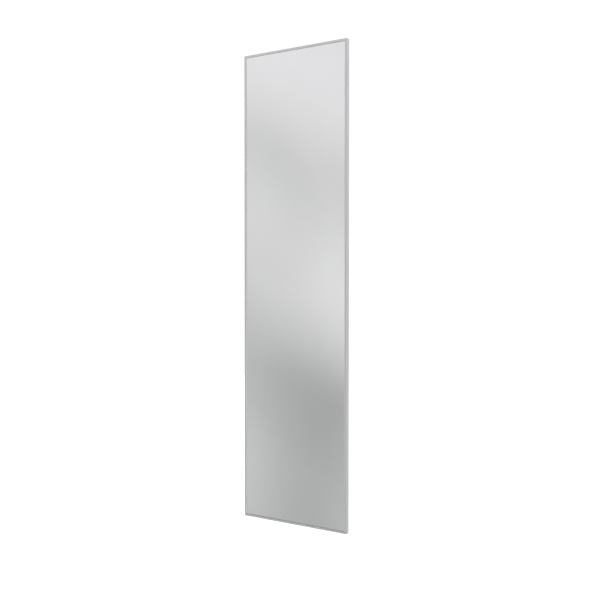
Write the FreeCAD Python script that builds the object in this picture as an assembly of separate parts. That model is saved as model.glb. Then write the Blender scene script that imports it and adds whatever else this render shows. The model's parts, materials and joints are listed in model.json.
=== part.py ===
import FreeCAD, Part
import math
import os

# Full-length wall mirror: a back-silvered pane set inside a slim mitred frame of hollow aluminium
# section, bonded to a wood-fibre board that carries two ring hangers and four wall bumpers.
# Millimetres. Seen from the front, +X is right, +Z is up and +Y runs back to the wall.
# The origin lies on the wall plane, midway between the points where the two hanger rings
# bear on their wall hooks once they are swung up.

Vector = FreeCAD.Vector
ORIGIN = Vector(0, 0, 0)
X_AXIS = Vector(1, 0, 0)
Y_AXIS = Vector(0, 1, 0)
Z_AXIS = Vector(0, 0, 1)
FULL_TURN = 360

# Whole mirror
outer_width = 400.0
outer_height = 1600.0
hook_line_below_top = 140.0

# Frame section
frame_face = 6.6
side_wall = 1.3
front_wall = 1.4
inner_wall = 1.1
rear_flange = 1.2
rear_flange_width = 13.5
front_edge_radius = 1.2
face_inner_radius = 0.4
section_edge_radius = 0.5
flange_edge_radius = 0.35
mitre_gap = 0.1

# Layers behind the face of the frame, from front to back
pane_recess = 0.5
glass_thickness = 4.0
coat_thickness = 0.1
film_thickness = 0.2
pad_thickness = 2.2
board_thickness = 9.0
bumper_height = 6.2

# Clearances shared by several pieces
glass_edge_gap = 0.7
board_edge_gap = 0.3
screw_play = 0.05
cut_overrun = 1.0

# Depths of the layers, measured from the wall plane
board_back_y = -bumper_height
board_front_y = board_back_y - board_thickness
film_back_y = board_front_y - pad_thickness
coat_back_y = film_back_y - film_thickness
glass_back_y = coat_back_y - coat_thickness
glass_front_y = glass_back_y - glass_thickness
frame_front_y = glass_front_y - pane_recess
frame_back_y = board_back_y + rear_flange

# Heights and widths that several pieces share
mirror_centre_z = hook_line_below_top - outer_height / 2
chamber_width = frame_face - side_wall - inner_wall
glass_edge_inset = frame_face + glass_edge_gap
board_edge_inset = frame_face + board_edge_gap
glass_width = outer_width - 2 * glass_edge_inset
glass_height = outer_height - 2 * glass_edge_inset
board_width = outer_width - 2 * board_edge_inset
board_height = outer_height - 2 * board_edge_inset
chamber_front_y = frame_front_y + front_wall
chamber_back_y = board_back_y

# Screws that hold the corner braces
corner_screw_radius = 1.25
corner_screw_length = 7.0
corner_screw_head_radius = 2.4
corner_screw_head_height = 1.5
corner_screw_from_corner = 26.0
corner_screw_inset = side_wall + chamber_width / 2

# Screws that hold the board to the rear flange
board_screw_radius = 1.5
board_screw_length = 8.0
board_screw_head_radius = 2.7
board_screw_head_height = 1.6
board_screw_from_corner = 70.0
board_screw_inset = (board_edge_inset + rear_flange_width) / 2
stile_screw_count = 6
rail_screw_count = 2

# Ring hangers
hanger_from_side = 50.0
strap_thickness = 1.2
strap_width = 14.0
strap_length = 50.0
strap_end_radius = 4.0
ring_wire_radius = 1.25
ring_bend_radius = 11.0
ring_corner_radius = 3.0
ring_leg_end = 6.0
ring_strap_gap = 0.3
ring_eye_play = 0.08
hanger_screw_radius = 1.75
hanger_screw_length = 9.0
hanger_screw_head_radius = 3.3
hanger_screw_head_height = 1.9
hanger_screw_first = 27.0
hanger_screw_pitch = 15.0

hanger_reach = outer_width / 2 - hanger_from_side
strap_back_y = board_back_y + strap_thickness
ring_axis_y = strap_back_y + ring_strap_gap + ring_wire_radius
ring_reach = ring_leg_end + ring_bend_radius
ring_axis_z = -(ring_reach - ring_wire_radius)

# The four sides, and the share of a full turn about Y that carries the bottom rail to each
side_turn_shares = {"bottom": 0, "left": 0.25, "top": 0.5, "right": -0.25}
UPRIGHT_SIDES = ("left", "right")
FRAME_PIECES = {
    "bottom": "bottom_rail",
    "left": "left_stile",
    "top": "top_rail",
    "right": "right_stile",
}


def export(name, shapes):
    solid = shapes[0] if len(shapes) == 1 else Part.makeCompound(shapes)
    solid.exportStep("parts/" + name + ".step")
    volume = sum(shape.Volume for shape in shapes)
    print(name, "solids", len(solid.Solids), "volume", round(volume, 1), "valid", solid.isValid())


def box_between(low, high):
    size = high - low
    return Part.makeBox(size.x, size.y, size.z, low)


# A closed wire through (point, radius) corners, each corner rounded by its radius
def rounded_wire(corners):
    edges = []
    count = len(corners)
    cuts = []
    for index in range(count):
        point, radius = corners[index]
        to_last = (corners[index - 1][0] - point).normalize()
        to_next = (corners[(index + 1) % count][0] - point).normalize()
        if radius == 0:
            cuts.append((point, None, point))
            continue
        half_angle = to_last.getAngle(to_next) / 2
        middle = (to_last + to_next).normalize()
        tangent = radius / math.tan(half_angle)
        arc_middle = point + middle * (radius / math.sin(half_angle) - radius)
        cuts.append((point + to_last * tangent, arc_middle, point + to_next * tangent))
    for index in range(count):
        start, arc_middle, end = cuts[index]
        next_start = cuts[(index + 1) % count][0]
        if arc_middle is not None:
            edges.append(Part.Arc(start, arc_middle, end).toShape())
        edges.append(Part.LineSegment(end, next_start).toShape())
    return Part.Wire(edges)


def prism(corners, direction):
    return Part.Face(rounded_wire(corners)).extrude(direction)


def side_length(side):
    return outer_height if side in UPRIGHT_SIDES else outer_width


# Carries a shape drawn for the bottom side, outer face at z = 0, to the side that is named
def on_side(shape, side):
    placed = shape.copy()
    placed.rotate(ORIGIN, Y_AXIS, FULL_TURN * side_turn_shares[side])
    half_width = outer_width / 2
    half_height = outer_height / 2
    offset = {
        "bottom": Vector(0, 0, -half_height),
        "left": Vector(-half_width, 0, 0),
        "top": Vector(0, 0, half_height),
        "right": Vector(half_width, 0, 0),
    }[side]
    placed.translate(offset + Vector(0, 0, mirror_centre_z))
    return placed


def pin_along_y(radius, start_y, end_y, x, z):
    return Part.makeCylinder(radius, end_y - start_y, Vector(x, start_y, z), Y_AXIS)


# Distances along a side, from its middle, of its two corner screws
def corner_screw_places(side):
    reach = side_length(side) / 2 - corner_screw_from_corner
    return [-reach, reach]


def board_screw_places(side):
    count = stile_screw_count if side in UPRIGHT_SIDES else rail_screw_count
    reach = side_length(side) / 2 - board_screw_from_corner
    return [-reach + 2 * reach * index / (count - 1) for index in range(count)]


# Frame sections: a slim hollow tube round the pane, with a flange behind the board
def section_outline():
    corners = [
        (0, frame_front_y, front_edge_radius),
        (frame_face, frame_front_y, face_inner_radius),
        (frame_face, board_back_y, 0),
        (rear_flange_width, board_back_y, 0),
        (rear_flange_width, frame_back_y, flange_edge_radius),
        (0, frame_back_y, section_edge_radius),
    ]
    return corners


def frame_section(side):
    length = side_length(side)
    start = -length / 2
    outline = [(Vector(start, y, inset), radius) for inset, y, radius in section_outline()]
    bar = prism(outline, Vector(length, 0, 0))
    chamber = box_between(
        Vector(start - cut_overrun, chamber_front_y, side_wall),
        Vector(-start + cut_overrun, chamber_back_y, side_wall + chamber_width),
    )
    bar = bar.cut(chamber)
    mitre_depth = rear_flange_width + cut_overrun
    outer_end = length / 2 - mitre_gap / 2
    inner_end = outer_end - mitre_depth
    mitre_front_y = frame_front_y - cut_overrun
    mitre_corners = [(-outer_end, 0), (outer_end, 0), (inner_end, mitre_depth), (-inner_end, mitre_depth)]
    mitre = prism(
        [(Vector(x, mitre_front_y, z), 0) for x, z in mitre_corners],
        Vector(0, frame_back_y + cut_overrun - mitre_front_y, 0),
    )
    bar = bar.common(mitre)
    holes = [(x, corner_screw_inset, corner_screw_radius) for x in corner_screw_places(side)]
    holes += [(x, board_screw_inset, board_screw_radius) for x in board_screw_places(side)]
    for x, inset, radius in holes:
        hole = pin_along_y(
            radius + screw_play, chamber_back_y - cut_overrun, frame_back_y + cut_overrun, x, inset
        )
        bar = bar.cut(hole)
    return on_side(bar, side)


# Corner braces: cast angles that fill the chambers of two sections across the mitre
brace_leg = 42.0
brace_play = 0.1
brace_lead_in = 1.2
brace_web = 6.0


def corner_brace(x_sign, z_sign):
    inner = side_wall + brace_play
    outer = side_wall + chamber_width - brace_play
    leg_end = side_wall + brace_leg
    front_y = chamber_front_y + brace_play
    depth = chamber_back_y - brace_play - front_y
    corners = [
        (Vector(inner, front_y, inner), brace_lead_in),
        (Vector(leg_end, front_y, inner), brace_lead_in),
        (Vector(leg_end, front_y, outer), brace_lead_in),
        (Vector(outer, front_y, outer), 0),
        (Vector(outer, front_y, leg_end), brace_lead_in),
        (Vector(inner, front_y, leg_end), brace_lead_in),
    ]
    brace = prism(corners, Vector(0, depth, 0))
    places = [(corner_screw_from_corner, corner_screw_inset), (corner_screw_inset, corner_screw_from_corner)]
    for x, z in places:
        hole = pin_along_y(
            corner_screw_radius + screw_play, front_y - cut_overrun, chamber_back_y + cut_overrun, x, z
        )
        brace = brace.cut(hole)
    return mirrored_corner(brace, x_sign, z_sign)


# Carries a piece drawn inside the lower left corner, measured from the frame's outer faces
def mirrored_corner(shape, x_sign, z_sign):
    placed = shape.copy()
    placed.translate(Vector(-outer_width / 2, 0, -outer_height / 2))
    if x_sign > 0:
        placed = placed.mirror(ORIGIN, X_AXIS)
    if z_sign > 0:
        placed = placed.mirror(ORIGIN, Z_AXIS)
    placed.translate(Vector(0, 0, mirror_centre_z))
    return placed


# Pan-head screws with a cross recess: the underside of the head is at y = 0, the tip at -Y
head_edge_share = 0.45
head_dome_across_share = 0.7
head_dome_up_share = 0.72
tip_share = 0.9
recess_length_share = 1.15
recess_width_share = 0.22
recess_depth_share = 0.55


def pan_screw(radius, length, head_radius, head_height):
    edge_y = head_height * head_edge_share
    dome_x = head_radius * head_dome_across_share
    dome_y = edge_y + (head_height - edge_y) * head_dome_up_share
    tip_y = -length + radius * tip_share
    edges = [
        Part.LineSegment(Vector(0, -length, 0), Vector(radius, tip_y, 0)),
        Part.LineSegment(Vector(radius, tip_y, 0), Vector(radius, 0, 0)),
        Part.LineSegment(Vector(radius, 0, 0), Vector(head_radius, 0, 0)),
        Part.LineSegment(Vector(head_radius, 0, 0), Vector(head_radius, edge_y, 0)),
        Part.Arc(Vector(head_radius, edge_y, 0), Vector(dome_x, dome_y, 0), Vector(0, head_height, 0)),
        Part.LineSegment(Vector(0, head_height, 0), Vector(0, -length, 0)),
    ]
    outline = Part.Wire([edge.toShape() for edge in edges])
    screw = Part.Face(outline).revolve(ORIGIN, Y_AXIS, FULL_TURN)
    long_half = head_radius * recess_length_share / 2
    short_half = head_radius * recess_width_share / 2
    floor_y = head_height * (1 - recess_depth_share)
    top_y = head_height + cut_overrun
    for half_x, half_z in ((long_half, short_half), (short_half, long_half)):
        slot = box_between(Vector(-half_x, floor_y, -half_z), Vector(half_x, top_y, half_z))
        screw = screw.cut(slot)
    return screw


def corner_screws(side):
    screws = []
    for x in corner_screw_places(side):
        screw = pan_screw(
            corner_screw_radius, corner_screw_length, corner_screw_head_radius, corner_screw_head_height
        )
        screw.translate(Vector(x, frame_back_y, corner_screw_inset))
        screws.append(on_side(screw, side))
    return screws


def board_screws(side):
    screws = []
    for x in board_screw_places(side):
        screw = pan_screw(
            board_screw_radius, board_screw_length, board_screw_head_radius, board_screw_head_height
        )
        screw.translate(Vector(x, frame_back_y, board_screw_inset))
        screws.append(on_side(screw, side))
    return screws


# Pane: float glass with ground edges, its silver coat and the safety film behind it
glass_arris = 0.2


def sheet(width, height, front_y, back_y):
    low = Vector(-width / 2, front_y, mirror_centre_z - height / 2)
    high = Vector(width / 2, back_y, mirror_centre_z + height / 2)
    return box_between(low, high)


def mirror_glass():
    pane = sheet(glass_width, glass_height, glass_front_y, glass_back_y)
    return pane.makeChamfer(glass_arris, pane.Edges)


def silver_coat():
    return sheet(glass_width - 2 * glass_arris, glass_height - 2 * glass_arris, glass_back_y, coat_back_y)


def safety_film():
    return sheet(glass_width - 2 * glass_arris, glass_height - 2 * glass_arris, coat_back_y, film_back_y)


# Edge seals: strips between the frame and the edge of the glass; three are soft and centre it,
# the bottom one is firmer and carries its weight
seal_recess = 0.3


def edge_seal(side):
    length = side_length(side)
    end_inset = frame_face if side in UPRIGHT_SIDES else glass_edge_inset
    low = Vector(-length / 2 + end_inset, glass_front_y + seal_recess, frame_face)
    high = Vector(length / 2 - end_inset, glass_back_y, glass_edge_inset)
    return on_side(box_between(low, high), side)


# Double-sided foam pads that bond the filmed glass to the board
pad_size = 60.0
pad_column_count = 2
pad_row_count = 4
pad_margin = 60.0


def pad_centres():
    reach_x = board_width / 2 - pad_margin
    reach_z = board_height / 2 - pad_margin
    centres = []
    for row in range(pad_row_count):
        for column in range(pad_column_count):
            x = -reach_x + 2 * reach_x * column / (pad_column_count - 1)
            z = reach_z - 2 * reach_z * row / (pad_row_count - 1)
            centres.append((x, mirror_centre_z + z))
    return centres


def mounting_pad(x, z):
    half = pad_size / 2
    return box_between(Vector(x - half, film_back_y, z - half), Vector(x + half, board_front_y, z + half))


# Backing board, drilled for the screws that end in it
def hanger_screw_places(hanger_x):
    first_z = ring_axis_z - hanger_screw_first
    return [(hanger_x, first_z), (hanger_x, first_z - hanger_screw_pitch)]


def backing_board():
    board = sheet(board_width, board_height, board_front_y, board_back_y)
    for side in FRAME_PIECES:
        for x in board_screw_places(side):
            end_y = frame_back_y - board_screw_length - screw_play
            pilot = pin_along_y(
                board_screw_radius + screw_play, end_y, board_back_y + cut_overrun, x, board_screw_inset
            )
            board = board.cut(on_side(pilot, side))
    for hanger_x in (-hanger_reach, hanger_reach):
        for x, z in hanger_screw_places(hanger_x):
            end_y = strap_back_y - hanger_screw_length - screw_play
            pilot = pin_along_y(hanger_screw_radius + screw_play, end_y, board_back_y + cut_overrun, x, z)
            board = board.cut(pilot)
    return board


# Hanger straps: a steel plate whose upper end is rolled into an eye for the ring
def hanger_strap(hanger_x):
    half = strap_width / 2
    bottom_z = ring_axis_z - strap_length
    plate = prism(
        [
            (Vector(hanger_x - half, board_back_y, ring_axis_z), 0),
            (Vector(hanger_x + half, board_back_y, ring_axis_z), 0),
            (Vector(hanger_x + half, board_back_y, bottom_z), strap_end_radius),
            (Vector(hanger_x - half, board_back_y, bottom_z), strap_end_radius),
        ],
        Vector(0, strap_thickness, 0),
    )
    eye_radius = ring_wire_radius + ring_eye_play
    eye_start = Vector(hanger_x - half, ring_axis_y, ring_axis_z)
    eye = Part.makeCylinder(eye_radius + strap_thickness, strap_width, eye_start, X_AXIS)
    bore_start = eye_start - Vector(cut_overrun, 0, 0)
    bore = Part.makeCylinder(eye_radius, strap_width + 2 * cut_overrun, bore_start, X_AXIS)
    strap = plate.fuse(eye).cut(bore)
    for x, z in hanger_screw_places(hanger_x):
        hole = pin_along_y(
            hanger_screw_radius + screw_play, board_back_y - cut_overrun, strap_back_y + cut_overrun, x, z
        )
        strap = strap.cut(hole)
    return strap.removeSplitter()


# Hanger rings: steel wire bent to a D, hanging down at rest from a straight bar in the eye
def hanger_ring(hanger_x):
    half = ring_bend_radius
    corner_x = half - ring_corner_radius
    corner_z = -ring_corner_radius
    near = ring_corner_radius * (1 - math.sqrt(0.5))
    points = {
        "bar_left": (-corner_x, 0),
        "bar_right": (corner_x, 0),
        "right_bend": (half - near, -near),
        "right_top": (half, corner_z),
        "right_bottom": (half, -ring_leg_end),
        "lowest": (0, -ring_reach),
        "left_bottom": (-half, -ring_leg_end),
        "left_top": (-half, corner_z),
        "left_bend": (-half + near, -near),
    }
    at = {name: Vector(hanger_x + x, ring_axis_y, ring_axis_z + z) for name, (x, z) in points.items()}
    path = Part.Wire(
        [
            Part.LineSegment(at["bar_left"], at["bar_right"]).toShape(),
            Part.Arc(at["bar_right"], at["right_bend"], at["right_top"]).toShape(),
            Part.LineSegment(at["right_top"], at["right_bottom"]).toShape(),
            Part.Arc(at["right_bottom"], at["lowest"], at["left_bottom"]).toShape(),
            Part.LineSegment(at["left_bottom"], at["left_top"]).toShape(),
            Part.Arc(at["left_top"], at["left_bend"], at["bar_left"]).toShape(),
        ]
    )
    wire_end = Part.Wire([Part.Circle(at["bar_left"], X_AXIS, ring_wire_radius).toShape()])
    return path.makePipeShell([wire_end], True, False)


def hanger_screws(hanger_x):
    screws = []
    for x, z in hanger_screw_places(hanger_x):
        screw = pan_screw(
            hanger_screw_radius, hanger_screw_length, hanger_screw_head_radius, hanger_screw_head_height
        )
        screw.translate(Vector(x, strap_back_y, z))
        screws.append(screw)
    return screws


# Wall bumpers: tapered rubber feet with a flat face, stuck to the board near its corners
bumper_base_radius = 7.0
bumper_face_radius = 5.0
bumper_edge_radius = 1.0
bumper_from_side = 40.0
bumper_from_end = 60.0


def wall_bumper(x_sign, z_sign):
    outline = [
        (Vector(0, board_back_y, 0), 0),
        (Vector(bumper_base_radius, board_back_y, 0), 0),
        (Vector(bumper_face_radius, 0, 0), bumper_edge_radius),
        (ORIGIN, 0),
    ]
    bumper = Part.Face(rounded_wire(outline)).revolve(ORIGIN, Y_AXIS, FULL_TURN)
    x = x_sign * (outer_width / 2 - bumper_from_side)
    z = mirror_centre_z + z_sign * (outer_height / 2 - bumper_from_end)
    bumper.translate(Vector(x, 0, z))
    return bumper


def main():
    os.makedirs("parts", exist_ok=True)
    for side, name in FRAME_PIECES.items():
        export(name, [frame_section(side)])
        export("edge_seal_" + side, [edge_seal(side)])
        export("board_screws_" + side, board_screws(side))
        export("corner_screws_" + side, corner_screws(side))
    corners = {
        "bottom_left": (-1, -1),
        "bottom_right": (1, -1),
        "top_left": (-1, 1),
        "top_right": (1, 1),
    }
    for corner, (x_sign, z_sign) in corners.items():
        export("corner_brace_" + corner, [corner_brace(x_sign, z_sign)])
        export("wall_bumper_" + corner, [wall_bumper(x_sign, z_sign)])
    export("mirror_glass", [mirror_glass()])
    export("silver_coat", [silver_coat()])
    export("safety_film", [safety_film()])
    export("backing_board", [backing_board()])
    for number, (x, z) in enumerate(pad_centres(), 1):
        export("mounting_pad_" + str(number), [mounting_pad(x, z)])
    for hand, x_sign in (("left", -1), ("right", 1)):
        hanger_x = x_sign * hanger_reach
        export("hanger_strap_" + hand, [hanger_strap(hanger_x)])
        export("hanger_ring_" + hand, [hanger_ring(hanger_x)])
        export("hanger_screws_" + hand, hanger_screws(hanger_x))


main()
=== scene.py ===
import json
import math

import bmesh
import bpy
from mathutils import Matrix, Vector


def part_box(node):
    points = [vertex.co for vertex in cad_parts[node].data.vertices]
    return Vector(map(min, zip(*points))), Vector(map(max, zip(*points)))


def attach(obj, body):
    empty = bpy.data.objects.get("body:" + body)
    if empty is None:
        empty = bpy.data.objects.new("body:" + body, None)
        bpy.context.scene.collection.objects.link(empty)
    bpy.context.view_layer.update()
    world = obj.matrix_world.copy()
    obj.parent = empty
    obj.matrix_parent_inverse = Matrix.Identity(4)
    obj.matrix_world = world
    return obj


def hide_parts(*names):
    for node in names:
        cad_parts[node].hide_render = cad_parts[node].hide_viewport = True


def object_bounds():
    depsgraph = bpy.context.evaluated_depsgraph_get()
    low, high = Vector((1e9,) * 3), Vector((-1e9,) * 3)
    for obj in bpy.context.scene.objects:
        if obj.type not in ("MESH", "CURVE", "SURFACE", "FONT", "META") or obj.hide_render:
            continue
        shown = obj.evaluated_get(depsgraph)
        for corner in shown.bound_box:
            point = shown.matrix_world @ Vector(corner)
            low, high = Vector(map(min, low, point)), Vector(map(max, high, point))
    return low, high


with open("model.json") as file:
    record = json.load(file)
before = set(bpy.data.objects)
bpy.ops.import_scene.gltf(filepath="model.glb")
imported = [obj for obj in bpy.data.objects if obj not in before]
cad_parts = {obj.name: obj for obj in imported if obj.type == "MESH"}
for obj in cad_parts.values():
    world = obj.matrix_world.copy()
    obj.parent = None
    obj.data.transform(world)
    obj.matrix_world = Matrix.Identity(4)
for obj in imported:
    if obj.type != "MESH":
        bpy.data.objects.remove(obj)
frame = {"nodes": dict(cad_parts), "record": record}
cadLow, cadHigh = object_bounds()
nodes = frame["nodes"]
scene = bpy.context.scene
scene.view_settings.view_transform = "Standard"
print("frame loaded:", len(nodes), "nodes")


# Camera: stands to the right of the mirror, about level with its middle
cameraView = {
    "place": (1.36836, -2.26667, -0.63842),
    "turnLeft": 31.258,  # degrees
    "tipDown": 1.0333,
    "lens": 47.8365,
    "sensor": 36.0,
    "nearest": 0.05,
    "farthest": 60.0,
}


def addCamera(view):
    data = bpy.data.cameras.new("studioCamera")
    data.lens = view["lens"]
    data.sensor_width = view["sensor"]
    data.clip_start = view["nearest"]
    data.clip_end = view["farthest"]
    camera = bpy.data.objects.new("studioCamera", data)
    camera.location = view["place"]
    camera.rotation_euler = (math.radians(90 - view["tipDown"]), 0, math.radians(view["turnLeft"]))
    scene.collection.objects.link(camera)
    scene.camera = camera


addCamera(cameraView)
print("camera set")


# Small helpers for node trees, each with the node's place in the editor
def addNode(tree, kind, place, **settings):
    node = tree.nodes.new(kind)
    node.location = place
    for name, value in settings.items():
        setattr(node, name, value)
    return node


def setInputs(node, **values):
    for name, value in values.items():
        node.inputs[name.replace("_", " ")].default_value = value


# An output is linked to the socket, and a colour or a number is set on it
def feed(tree, socket, value):
    if isinstance(value, bpy.types.NodeSocket):
        tree.links.new(value, socket)
    elif isinstance(value, tuple):
        socket.default_value = (*value, 1.0)
    else:
        socket.default_value = value


def mathNode(tree, place, operation, *terms):
    node = addNode(tree, "ShaderNodeMath", place, operation=operation)
    for socket, term in zip(node.inputs, terms):
        feed(tree, socket, term)
    return node.outputs[0]


def rangeNode(tree, place, value, given, wanted, interpolation="LINEAR"):
    node = addNode(tree, "ShaderNodeMapRange", place, interpolation_type=interpolation)
    names = ("Value", "From Min", "From Max", "To Min", "To Max")
    for name, term in zip(names, (value, *given, *wanted)):
        feed(tree, node.inputs[name], term)
    return node.outputs["Result"]


# The mix node has hidden sockets of the same names for each data type, so they are found by type
def mixRgb(tree, place, factor, first, second, blend="MIX"):
    node = addNode(tree, "ShaderNodeMix", place, data_type="RGBA", blend_type=blend)
    for name, kind, value in (("Factor", "VALUE", factor), ("A", "RGBA", first), ("B", "RGBA", second)):
        socket = next(item for item in node.inputs if item.name == name and item.type == kind)
        feed(tree, socket, value)
    return next(item for item in node.outputs if item.type == "RGBA")


# World: white to the camera, a softly graded pale studio to everything that reflects it
studio = {
    "background": (1.02, 1.02, 1.02),
    "middleTone": 0.44,
    "upperTone": 0.708,
    "lowerTone": 0.63,
    "sideTone": 0.785,
    "sideUpperTone": 0.94,
    "lowerTint": (1.0, 0.999, 1.003),
    "middleTint": (1.015, 0.99, 1.0),
    "upperTint": (1.0, 0.962, 1.0),
    "lowBand": (-0.254, 0.0),  # heights between which one tone passes into the next
    "highBand": (0.05, 0.405),
    "sideBand": (0.0, 0.4),
    "frontBand": (-0.15, -0.55),  # how far forward a direction points before it sees the graded front
    "slant": 0.583,  # how steeply the bands climb towards the left
    "slantPivot": -0.52,  # where the slant neither lifts nor lowers them
    "glows": {
        "upperGlow": {"centre": (-0.585, 0.239), "reach": (0.88, 0.236), "strength": 0.241},
        "windowGlow": {"centre": (-0.265, 0.015), "reach": (0.80, 0.178), "strength": 0.417},
        "darkFlag": {"centre": (-0.485, -0.208), "reach": (0.115, 0.217), "strength": -0.164},
        "middleShade": {"centre": (-0.529, 0.071), "reach": (0.06, 0.137), "strength": -0.066},
        "leftGlow": {"centre": (-0.55, 0.088), "reach": (0.066, 0.092), "strength": 0.073},
        "benchShade": {"centre": (-0.262, -0.109), "reach": (0.325, 0.06), "strength": -0.104},
        "floorShade": {"centre": (-0.473, -0.31), "reach": (0.104, 0.093), "strength": -0.059},
        "floorGlow": {"centre": (-0.593, -0.267), "reach": (0.11, 0.049), "strength": 0.032},
        "benchGlow": {"centre": (-0.726, -0.223), "reach": (0.294, 0.06), "strength": 0.074},
    },
}


# A soft oval patch, lighter or darker than the tone that it is added to
def addGlow(tree, row, name, glow, flat, tone):
    across, up = glow["reach"]
    placed = addNode(tree, "ShaderNodeMapping", (100, row), vector_type="POINT", label=name)
    setInputs(
        placed, Scale=(1 / across, 1 / up, 1),
        Location=(-glow["centre"][0] / across, -glow["centre"][1] / up, 0),
    )
    tree.links.new(flat, placed.inputs["Vector"])
    ball = addNode(tree, "ShaderNodeTexGradient", (300, row), gradient_type="SPHERICAL")
    tree.links.new(placed.outputs[0], ball.inputs[0])
    soft = rangeNode(tree, (500, row), ball.outputs[1], (0, 1), (0, glow["strength"]), "SMOOTHSTEP")
    return mathNode(tree, (700, row), "ADD", tone, soft)


def addTones(tree, values, x, z):
    drop = -values["slantPivot"] * values["slant"]
    slanted = mathNode(tree, (-500, 0), "MULTIPLY_ADD", x, values["slant"], drop)
    height = mathNode(tree, (-300, 0), "ADD", z, slanted)
    lowTones = (values["lowerTone"], values["middleTone"])
    highTones = (0, values["upperTone"] - values["middleTone"])
    low = rangeNode(tree, (-100, 200), height, values["lowBand"], lowTones, "SMOOTHSTEP")
    high = rangeNode(tree, (-100, -100), height, values["highBand"], highTones, "SMOOTHSTEP")
    tone = mathNode(tree, (100, 0), "ADD", low, high)
    flat = addNode(tree, "ShaderNodeCombineXYZ", (-100, -400))
    tree.links.new(x, flat.inputs[0])
    tree.links.new(height, flat.inputs[1])
    for step, (name, glow) in enumerate(values["glows"].items()):
        tone = addGlow(tree, -400 - 300 * step, name, glow, flat.outputs[0], tone)
    lowShare = rangeNode(tree, (300, 700), height, values["lowBand"], (0, 1), "SMOOTHSTEP")
    highShare = rangeNode(tree, (300, 500), height, values["highBand"], (0, 1), "SMOOTHSTEP")
    lowTint = mixRgb(tree, (500, 700), lowShare, values["lowerTint"], values["middleTint"])
    tint = mixRgb(tree, (700, 600), highShare, lowTint, values["upperTint"])
    return mixRgb(tree, (900, 500), 1.0, tone, tint, "MULTIPLY")


def addWorld(values):
    world = bpy.data.worlds.new("paleStudio")
    scene.world = world
    world.use_nodes = True
    tree = world.node_tree
    tree.nodes.clear()
    coords = addNode(tree, "ShaderNodeTexCoord", (-900, 0))
    parts = addNode(tree, "ShaderNodeSeparateXYZ", (-700, 0))
    tree.links.new(coords.outputs["Generated"], parts.inputs[0])
    x, y, z = parts.outputs
    tinted = addTones(tree, values, x, z)
    sideTones = (values["sideTone"], values["sideUpperTone"])
    front = rangeNode(tree, (700, 300), y, values["frontBand"], (0, 1), "SMOOTHSTEP")
    beside = rangeNode(tree, (500, 300), z, values["sideBand"], sideTones, "SMOOTHSTEP")
    reflected = addNode(tree, "ShaderNodeBackground", (1000, 0))
    tree.links.new(mixRgb(tree, (900, 200), front, beside, tinted), reflected.inputs["Color"])
    plain = addNode(tree, "ShaderNodeBackground", (1000, -200))
    setInputs(plain, Color=(*values["background"], 1.0))
    path = addNode(tree, "ShaderNodeLightPath", (1000, 500))
    mix = addNode(tree, "ShaderNodeMixShader", (1200, 0))
    output = addNode(tree, "ShaderNodeOutputWorld", (1400, 0))
    tree.links.new(path.outputs["Is Camera Ray"], mix.inputs[0])
    tree.links.new(reflected.outputs[0], mix.inputs[1])
    tree.links.new(plain.outputs[0], mix.inputs[2])
    tree.links.new(mix.outputs[0], output.inputs["Surface"])


addWorld(studio)
print("world set")


# Soft lamps: a large key high on the left in front, and one behind for the back of the board
lamps = {
    "keySoftbox": {"place": (-2.8, -1.9, 1.9), "size": 1.8, "power": 6.0},
    "backSoftbox": {"place": (-1.7, 2.8, 1.2), "size": 3.2, "power": 13.0},
}


def addLamp(name, values):
    data = bpy.data.lights.new(name, "AREA")
    data.shape = "SQUARE"
    data.size = values["size"]
    data.energy = values["power"]
    lamp = bpy.data.objects.new(name, data)
    lamp.location = values["place"]
    towardsMirror = (cadLow + cadHigh) / 2 - lamp.location
    lamp.rotation_euler = towardsMirror.to_track_quat("-Z", "Y").to_euler()
    scene.collection.objects.link(lamp)


for name, values in lamps.items():
    addLamp(name, values)


# Floor: pale and plain, well below the hanging mirror
floorValues = {"drop": 0.55, "radius": 9.0, "sides": 96, "tone": 0.86, "roughness": 0.9, "glow": 0.45}


def addFloor(values):
    shape = bmesh.new()
    bmesh.ops.create_circle(shape, cap_ends=True, segments=values["sides"], radius=values["radius"])
    bmesh.ops.translate(shape, verts=shape.verts, vec=(0, 0, cadLow.z - values["drop"]))
    mesh = bpy.data.meshes.new("studioFloor")
    shape.to_mesh(mesh)
    shape.free()
    floor = bpy.data.objects.new("studioFloor", mesh)
    floor.visible_glossy = False
    floor.visible_transmission = False
    scene.collection.objects.link(floor)
    material = bpy.data.materials.new("studioFloor")
    material.use_nodes = True
    tone = values["tone"]
    setInputs(
        material.node_tree.nodes["Principled BSDF"], Base_Color=(tone, tone, tone, 1.0),
        Roughness=values["roughness"], Emission_Color=(1, 1, 1, 1), Emission_Strength=values["glow"],
    )
    mesh.materials.append(material)


addFloor(floorValues)
print("lamps and floor set")


# Effects that several finishes share: each is a group that reads Vector and gives masks or heights
def newGroup(name, settings, results):
    group = bpy.data.node_groups.new(name, "ShaderNodeTree")
    group.interface.new_socket(name="Vector", in_out="INPUT", socket_type="NodeSocketVector")
    for label, value in settings.items():
        kind = "NodeSocketVector" if isinstance(value, tuple) else "NodeSocketFloat"
        socket = group.interface.new_socket(name=label, in_out="INPUT", socket_type=kind)
        socket.default_value = value
    for label in results:
        group.interface.new_socket(name=label, in_out="OUTPUT", socket_type="NodeSocketFloat")
    start = addNode(group, "NodeGroupInput", (-900, 0))
    end = addNode(group, "NodeGroupOutput", (900, 0))
    return group, start.outputs, end.inputs


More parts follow.
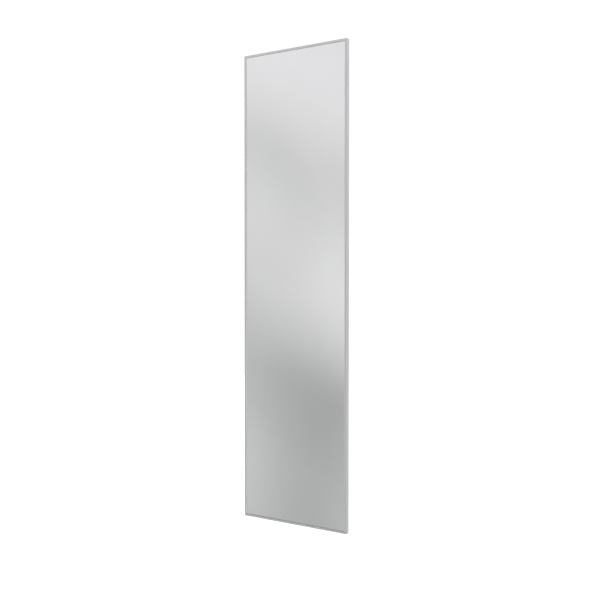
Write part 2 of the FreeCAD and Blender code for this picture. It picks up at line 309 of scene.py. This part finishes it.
# Fine lines drawn out along one direction: die lines, brushing, fibres
def makeDrawnLines():
    settings = {"Stretch": (900.0, 900.0, 2.0), "Spread": 0.35}
    noises = {
        "Lines": {"Scale": 1.0, "Detail": 3.0, "Roughness": 0.6},
        "Streaks": {"Scale": 0.16, "Detail": 2.0, "Roughness": 0.5},
    }
    group, given, result = newGroup("drawnLines", settings, noises)
    stretched = addNode(group, "ShaderNodeVectorMath", (-600, 0), operation="MULTIPLY")
    group.links.new(given["Vector"], stretched.inputs[0])
    group.links.new(given["Stretch"], stretched.inputs[1])
    low = mathNode(group, (-100, 300), "SUBTRACT", 0.5, given["Spread"])
    high = mathNode(group, (-100, 200), "ADD", 0.5, given["Spread"])
    for step, (name, values) in enumerate(noises.items()):
        row = 100 - 300 * step
        noise = addNode(group, "ShaderNodeTexNoise", (-300, row))
        setInputs(noise, **values)
        group.links.new(stretched.outputs[0], noise.inputs["Vector"])
        spread = rangeNode(group, (300, row), noise.outputs[0], (low, high), (0, 1))
        group.links.new(spread, result[name])
    return group


# Cloudy change of tone over a surface, for haze, handling and uneven finish
def makeCloudyTone():
    settings = {"Scale": 6.0, "Contrast": 0.5}
    noiseCut = {"atNoContrast": 0.2, "perContrast": 0.3}  # cut off at each end of the noise's range
    group, given, result = newGroup("cloudyTone", settings, ["Mask"])
    cloud = addNode(group, "ShaderNodeTexNoise", (-400, 0))
    setInputs(cloud, Detail=5.0, Roughness=0.55)
    group.links.new(given["Vector"], cloud.inputs["Vector"])
    group.links.new(given["Scale"], cloud.inputs["Scale"])
    low = mathNode(
        group, (-200, 200), "MULTIPLY_ADD",
        given["Contrast"], noiseCut["perContrast"], noiseCut["atNoContrast"],
    )
    high = mathNode(group, (0, 200), "SUBTRACT", 1.0, low)
    group.links.new(rangeNode(group, (300, 0), cloud.outputs[0], (low, high), (0, 1)), result["Mask"])
    return group


# Small grains or cells: cast skin, foam, rubber and wood-fibre flecks
def makeSmallGrain():
    settings = {"Scale": 900.0, "Cover": 0.5}
    group, given, result = newGroup("smallGrain", settings, ["Grain", "Fleck"])
    cells = addNode(group, "ShaderNodeTexVoronoi", (-400, 0), feature="F1")
    group.links.new(given["Vector"], cells.inputs["Vector"])
    group.links.new(given["Scale"], cells.inputs["Scale"])
    group.links.new(cells.outputs["Distance"], result["Grain"])
    tint = addNode(group, "ShaderNodeSeparateColor", (-100, -200))
    group.links.new(cells.outputs["Color"], tint.inputs[0])
    fleck = mathNode(group, (200, -200), "LESS_THAN", tint.outputs[0], given["Cover"])
    group.links.new(fleck, result["Fleck"])
    return group


drawnLines = makeDrawnLines()
cloudyTone = makeCloudyTone()
smallGrain = makeSmallGrain()


def startMaterial(name, values, metallic=0.0):
    material = bpy.data.materials.new(name)
    material.use_nodes = True
    tree = material.node_tree
    surface = tree.nodes["Principled BSDF"]
    surface.location = (600, 0)
    tree.nodes["Material Output"].location = (900, 0)
    setInputs(
        surface, Base_Color=(*values["colour"], 1.0), Roughness=values["roughness"], Metallic=metallic,
    )
    coords = addNode(tree, "ShaderNodeTexCoord", (-1100, 0))
    return material, tree, surface, coords.outputs["Object"]


def useGroup(tree, group, coords, place, **values):
    node = addNode(tree, "ShaderNodeGroup", place, node_tree=group)
    tree.links.new(coords, node.inputs["Vector"])
    setInputs(node, **values)
    return node.outputs


def useClouds(tree, coords, place, values):
    outputs = useGroup(
        tree, cloudyTone, coords, place, Scale=values["cloudScale"], Contrast=values["cloudContrast"],
    )
    return outputs["Mask"]


def varyColour(tree, surface, mask, first, second):
    tree.links.new(mixRgb(tree, (-100, 200), mask, first, second), surface.inputs["Base Color"])


# Roughness from smoothest where the mask is 0 to roughest where it is at its full value
def varyRoughness(tree, surface, mask, full, smoothest, roughest):
    rough = rangeNode(tree, (-100, 0), mask, (0, full), (smoothest, roughest))
    tree.links.new(rough, surface.inputs["Roughness"])


def addBump(tree, surface, height, values):
    bump = addNode(tree, "ShaderNodeBump", (300, -300))
    setInputs(bump, Strength=values["bumpStrength"], Distance=values["bumpDepth"])
    tree.links.new(height, bump.inputs["Height"])
    tree.links.new(bump.outputs[0], surface.inputs["Normal"])


# A new piece from a finished bmesh: rides on the mirror and stands for the named node
def addPiece(name, shape, standsFor):
    mesh = bpy.data.meshes.new(name)
    shape.normal_update()
    shape.to_mesh(mesh)
    shape.free()
    piece = bpy.data.objects.new(name, mesh)
    scene.collection.objects.link(piece)
    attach(piece, "mirror")
    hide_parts(standsFor)
    return piece


def boxShape(low, high):
    shape = bmesh.new()
    bmesh.ops.create_cube(shape, size=1.0)
    bmesh.ops.scale(shape, verts=shape.verts, vec=high - low)
    bmesh.ops.translate(shape, verts=shape.verts, vec=(low + high) / 2)
    return shape


def giveMaterial(item, material):
    if not item.material_slots:
        item.data.materials.append(material)
    for place in item.material_slots:
        place.material = material


def dress(slotName, material):
    for entry in frame["record"]["subparts"]:
        if entry["material_slot"] == slotName:
            giveMaterial(nodes[entry["node"]], material)


# Frame: natural anodised aluminium, satin, with faint die lines along each length
frameFinish = {
    "colour": (0.715, 0.726, 0.728),
    "streakColour": (0.655, 0.667, 0.67),
    "streakShare": 0.6,
    "roughness": 0.46,
    "roughnessChange": 0.07,
    "lineStretch": 1500.0,
    "lineAlong": 2.5,
    "lineSpread": 0.3,
    "cloudScale": 9.0,
    "cloudContrast": 0.6,
    "bumpStrength": 0.35,
    "bumpDepth": 0.000012,
}


def anodisedMaterial(name, along, values):
    material, tree, surface, coords = startMaterial(name, values, 1.0)
    stretch = [values["lineStretch"]] * 3
    stretch[along] = values["lineAlong"]
    lines = useGroup(tree, drawnLines, coords, (-800, 200), Stretch=stretch, Spread=values["lineSpread"])
    clouds = useClouds(tree, coords, (-800, -200), values)
    streaks = mathNode(tree, (-500, 200), "MULTIPLY", lines["Streaks"], values["streakShare"])
    varyColour(tree, surface, streaks, values["colour"], values["streakColour"])
    uneven = mathNode(tree, (-500, -100), "ADD", lines["Lines"], clouds)
    low = values["roughness"] - values["roughnessChange"]
    high = values["roughness"] + values["roughnessChange"]
    varyRoughness(tree, surface, uneven, 2, low, high)
    addBump(tree, surface, lines["Lines"], values)
    return material


uprightFinish = anodisedMaterial("anodisedUpright", 2, frameFinish)
levelFinish = anodisedMaterial("anodisedLevel", 0, frameFinish)
for name in ("left_stile", "right_stile"):
    giveMaterial(nodes[name], uprightFinish)
for name in ("top_rail", "bottom_rail"):
    giveMaterial(nodes[name], levelFinish)
print("frame dressed")


# Pane: clear float glass with a trace of haze
glassFinish = {
    "colour": (0.968, 0.985, 0.977),
    "roughness": 0.0,
    "refraction": 1.52,
    "haze": 0.004,
    "hazeStart": 0.55,
    "cloudScale": 14.0,
    "cloudContrast": 0.9,
}


def glassMaterial(values):
    material, tree, surface, coords = startMaterial("clearFloatGlass", values)
    setInputs(surface, IOR=values["refraction"], Transmission_Weight=1.0)
    clouds = useClouds(tree, coords, (-500, 0), values)
    haze = rangeNode(tree, (-100, 0), clouds, (values["hazeStart"], 1), (0, values["haze"]))
    tree.links.new(haze, surface.inputs["Roughness"])
    return material


# Silver: bonded to the glass, so its front lies a hair inside the pane and light meets it with no air between
silverFinish = {
    "colour": (0.93, 0.94, 0.94),
    "duller": (0.90, 0.915, 0.91),
    "roughness": 0.0,
    "bond": 0.00002,
    "cloudScale": 2.2,
    "cloudContrast": 0.4,
}


def silverMaterial(values):
    material, tree, surface, coords = startMaterial("silveredBack", values, 1.0)
    clouds = useClouds(tree, coords, (-500, 0), values)
    varyColour(tree, surface, clouds, values["colour"], values["duller"])
    return material


def addSilver(values):
    low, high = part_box("silver_coat")
    low.y -= values["bond"]
    layer = addPiece("silverLayer", boxShape(low, high), "silver_coat")
    giveMaterial(layer, silverMaterial(values))


dress("float_glass", glassMaterial(glassFinish))
addSilver(silverFinish)
print("pane dressed")


# Metal fittings: bright zinc on the screws and hangers, dull cast metal on the braces
fittingSkin = {
    "smoother": 0.08,
    "rougher": 0.12,
    "lineSpread": 0.3,
    "cloudScale": 160.0,
    "cloudContrast": 0.7,
    "grainScale": 1600.0,
    "grainShare": 0.4,
    "bumpStrength": 0.3,
    "bumpDepth": 0.00003,
}
fittings = {
    "screw_steel": {
        "colour": (0.66, 0.67, 0.66),
        "darker": (0.50, 0.50, 0.47),
        "roughness": 0.30,
        "stretch": (500.0, 9.0, 500.0),
    },
    "hanger_steel": {
        "colour": (0.68, 0.69, 0.68),
        "darker": (0.59, 0.59, 0.565),
        "roughness": 0.27,
        "stretch": (14.0, 700.0, 700.0),
    },
    "cast_brace": {
        "colour": (0.56, 0.57, 0.58),
        "darker": (0.42, 0.42, 0.43),
        "roughness": 0.52,
        "stretch": (300.0, 300.0, 300.0),
    },
}


def fittingMaterial(slotName, values):
    material, tree, surface, coords = startMaterial(slotName + "_finish", values, 1.0)
    lines = useGroup(
        tree, drawnLines, coords, (-800, 200), Stretch=values["stretch"], Spread=values["lineSpread"],
    )
    clouds = useClouds(tree, coords, (-800, -200), values)
    grain = useGroup(tree, smallGrain, coords, (-800, -500), Scale=values["grainScale"])
    varyColour(tree, surface, clouds, values["colour"], values["darker"])
    uneven = mathNode(tree, (-500, 0), "ADD", lines["Lines"], clouds)
    low = values["roughness"] - values["smoother"]
    high = values["roughness"] + values["rougher"]
    varyRoughness(tree, surface, uneven, 2, low, high)
    height = mathNode(
        tree, (-200, -300), "MULTIPLY_ADD", grain["Grain"], values["grainShare"], lines["Lines"],
    )
    addBump(tree, surface, height, values)
    return material


for slotName, values in fittings.items():
    dress(slotName, fittingMaterial(slotName, {**fittingSkin, **values}))
print("fittings dressed")


# Backing board: bare sanded wood-fibre, with fine pale and dark flecks
boardFinish = {
    "colour": (0.255, 0.172, 0.108),
    "paler": (0.335, 0.236, 0.156),
    "fleck": (0.17, 0.11, 0.068),
    "roughness": 0.79,
    "roughnessChange": 0.09,
    "cloudScale": 16.0,
    "cloudContrast": 0.15,
    "cloudShare": 0.35,
    "fibreStretch": (1300.0, 1300.0, 420.0),
    "fibreSpread": 0.25,
    "fibreShare": 0.75,
    "fleckScale": 1900.0,
    "fleckCover": 0.10,
    "fleckShare": 0.25,
    "bumpStrength": 0.5,
    "bumpDepth": 0.00008,
}


def boardMaterial(values):
    material, tree, surface, coords = startMaterial("fibreboardFinish", values)
    clouds = useClouds(tree, coords, (-900, 300), values)
    fibres = useGroup(
        tree, drawnLines, coords, (-900, 0), Stretch=values["fibreStretch"], Spread=values["fibreSpread"],
    )
    grain = useGroup(
        tree, smallGrain, coords, (-900, -300), Scale=values["fleckScale"], Cover=values["fleckCover"],
    )
    cloudy = mathNode(tree, (-700, 300), "MULTIPLY", clouds, values["cloudShare"])
    fibrous = mathNode(tree, (-700, 100), "MULTIPLY", fibres["Lines"], values["fibreShare"])
    flecked = mathNode(tree, (-700, -300), "MULTIPLY", grain["Fleck"], values["fleckShare"])
    base = mixRgb(tree, (-500, 300), cloudy, values["colour"], values["paler"])
    fibred = mixRgb(tree, (-300, 200), fibrous, base, values["paler"])
    varyColour(tree, surface, flecked, fibred, values["fleck"])
    low = values["roughness"] - values["roughnessChange"]
    high = values["roughness"] + values["roughnessChange"]
    varyRoughness(tree, surface, fibres["Streaks"], 1, low, high)
    addBump(tree, surface, fibres["Lines"], values)
    return material


dress("fibreboard", boardMaterial(boardFinish))
print("board dressed")


# Rubber, foam, seal and film
softSkin = {
    "roughnessChange": 0.07,
    "cloudScale": 60.0,
    "cloudContrast": 0.6,
    "cloudShare": 0.7,
    "fleckCover": 0.4,
    "fleckShare": 0.3,
    "bumpStrength": 0.6,
}
softFinishes = {
    "bumper_rubber": {
        "colour": (0.018, 0.018, 0.019),
        "paler": (0.035, 0.035, 0.037),
        "roughness": 0.55,
        "grainScale": 1500.0,
        "bumpDepth": 0.00004,
    },
    "edge_seal": {
        "colour": (0.76, 0.77, 0.77),
        "paler": (0.81, 0.82, 0.82),
        "roughness": 0.55,
        "grainScale": 2200.0,
        "bumpDepth": 0.00003,
    },
    # Darker than the edge seal: this tone is painted shade, the dark line along the bottom of the pane
    "carrier_rubber": {
        "colour": (0.41, 0.41, 0.415),
        "paler": (0.46, 0.46, 0.465),
        "roughness": 0.6,
        "grainScale": 1900.0,
        "bumpDepth": 0.00003,
    },
    "pad_foam": {
        "colour": (0.78, 0.78, 0.76),
        "paler": (0.86, 0.86, 0.84),
        "roughness": 0.85,
        "grainScale": 1800.0,
        "bumpDepth": 0.0001,
    },
    "safety_film": {
        "colour": (0.62, 0.64, 0.66),
        "paler": (0.70, 0.72, 0.74),
        "roughness": 0.4,
        "grainScale": 420.0,
        "bumpDepth": 0.00003,
    },
}


def softMaterial(slotName, values):
    material, tree, surface, coords = startMaterial(slotName + "_finish", values)
    clouds = useClouds(tree, coords, (-800, 200), values)
    grain = useGroup(
        tree, smallGrain, coords, (-800, -200), Scale=values["grainScale"], Cover=values["fleckCover"],
    )
    cloudy = mathNode(tree, (-650, 200), "MULTIPLY", clouds, values["cloudShare"])
    mixed = mathNode(tree, (-500, 0), "MULTIPLY_ADD", grain["Fleck"], values["fleckShare"], cloudy)
    varyColour(tree, surface, mixed, values["colour"], values["paler"])
    low = values["roughness"] - values["roughnessChange"]
    high = values["roughness"] + values["roughnessChange"]
    varyRoughness(tree, surface, clouds, 1, low, high)
    addBump(tree, surface, grain["Grain"], values)
    return material


softMaterials = {}
for slotName, values in softFinishes.items():
    softMaterials[slotName] = softMaterial(slotName, {**softSkin, **values})
    dress(slotName, softMaterials[slotName])
print("rubber, foam, seal and film dressed")


# Edge seals: a strip between the frame and the pane, its front rounded on the side of the glass
# The soft ones just touch the glass, while the pane's weight presses the bottom one into full contact. The
# bottom one is the darker carrier rubber, and its tone is painted shade along the bottom of the pane.
sealBead = {"softGap": 0.00008, "pressedGap": -0.00002, "rise": 0.00025, "rounding": 0.0003, "steps": 5}
seals = {
    "left": {"axis": 0, "towardsGlass": 1, "gap": "softGap", "slot": "edge_seal"},
    "right": {"axis": 0, "towardsGlass": -1, "gap": "softGap", "slot": "edge_seal"},
    "top": {"axis": 2, "towardsGlass": -1, "gap": "softGap", "slot": "edge_seal"},
    "bottom": {"axis": 2, "towardsGlass": 1, "gap": "pressedGap", "slot": "carrier_rubber"},
}


def addSeal(side, values):
    name = "edge_seal_" + side
    axis = values["axis"]
    low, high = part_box(name)
    low.y -= sealBead["rise"]
    glassSide = high if values["towardsGlass"] > 0 else low
    glassSide[axis] -= values["towardsGlass"] * sealBead[values["gap"]]
    shape = boxShape(low, high)
    near = sealBead["rise"] / 2
    roundedEdge = [
        edge for edge in shape.edges
        if all(abs(vert.co.y - low.y) < near for vert in edge.verts)
        and all(abs(vert.co[axis] - glassSide[axis]) < near for vert in edge.verts)
    ]
    bmesh.ops.bevel(
        shape, geom=roundedEdge, offset=sealBead["rounding"], segments=sealBead["steps"],
        profile=0.5, affect="EDGES", material=-1,
    )
    seal = addPiece("sealBead" + side.capitalize(), shape, name)
    giveMaterial(seal, softMaterials[values["slot"]])


for side, values in seals.items():
    addSeal(side, values)
print("edge seals shaped and dressed")
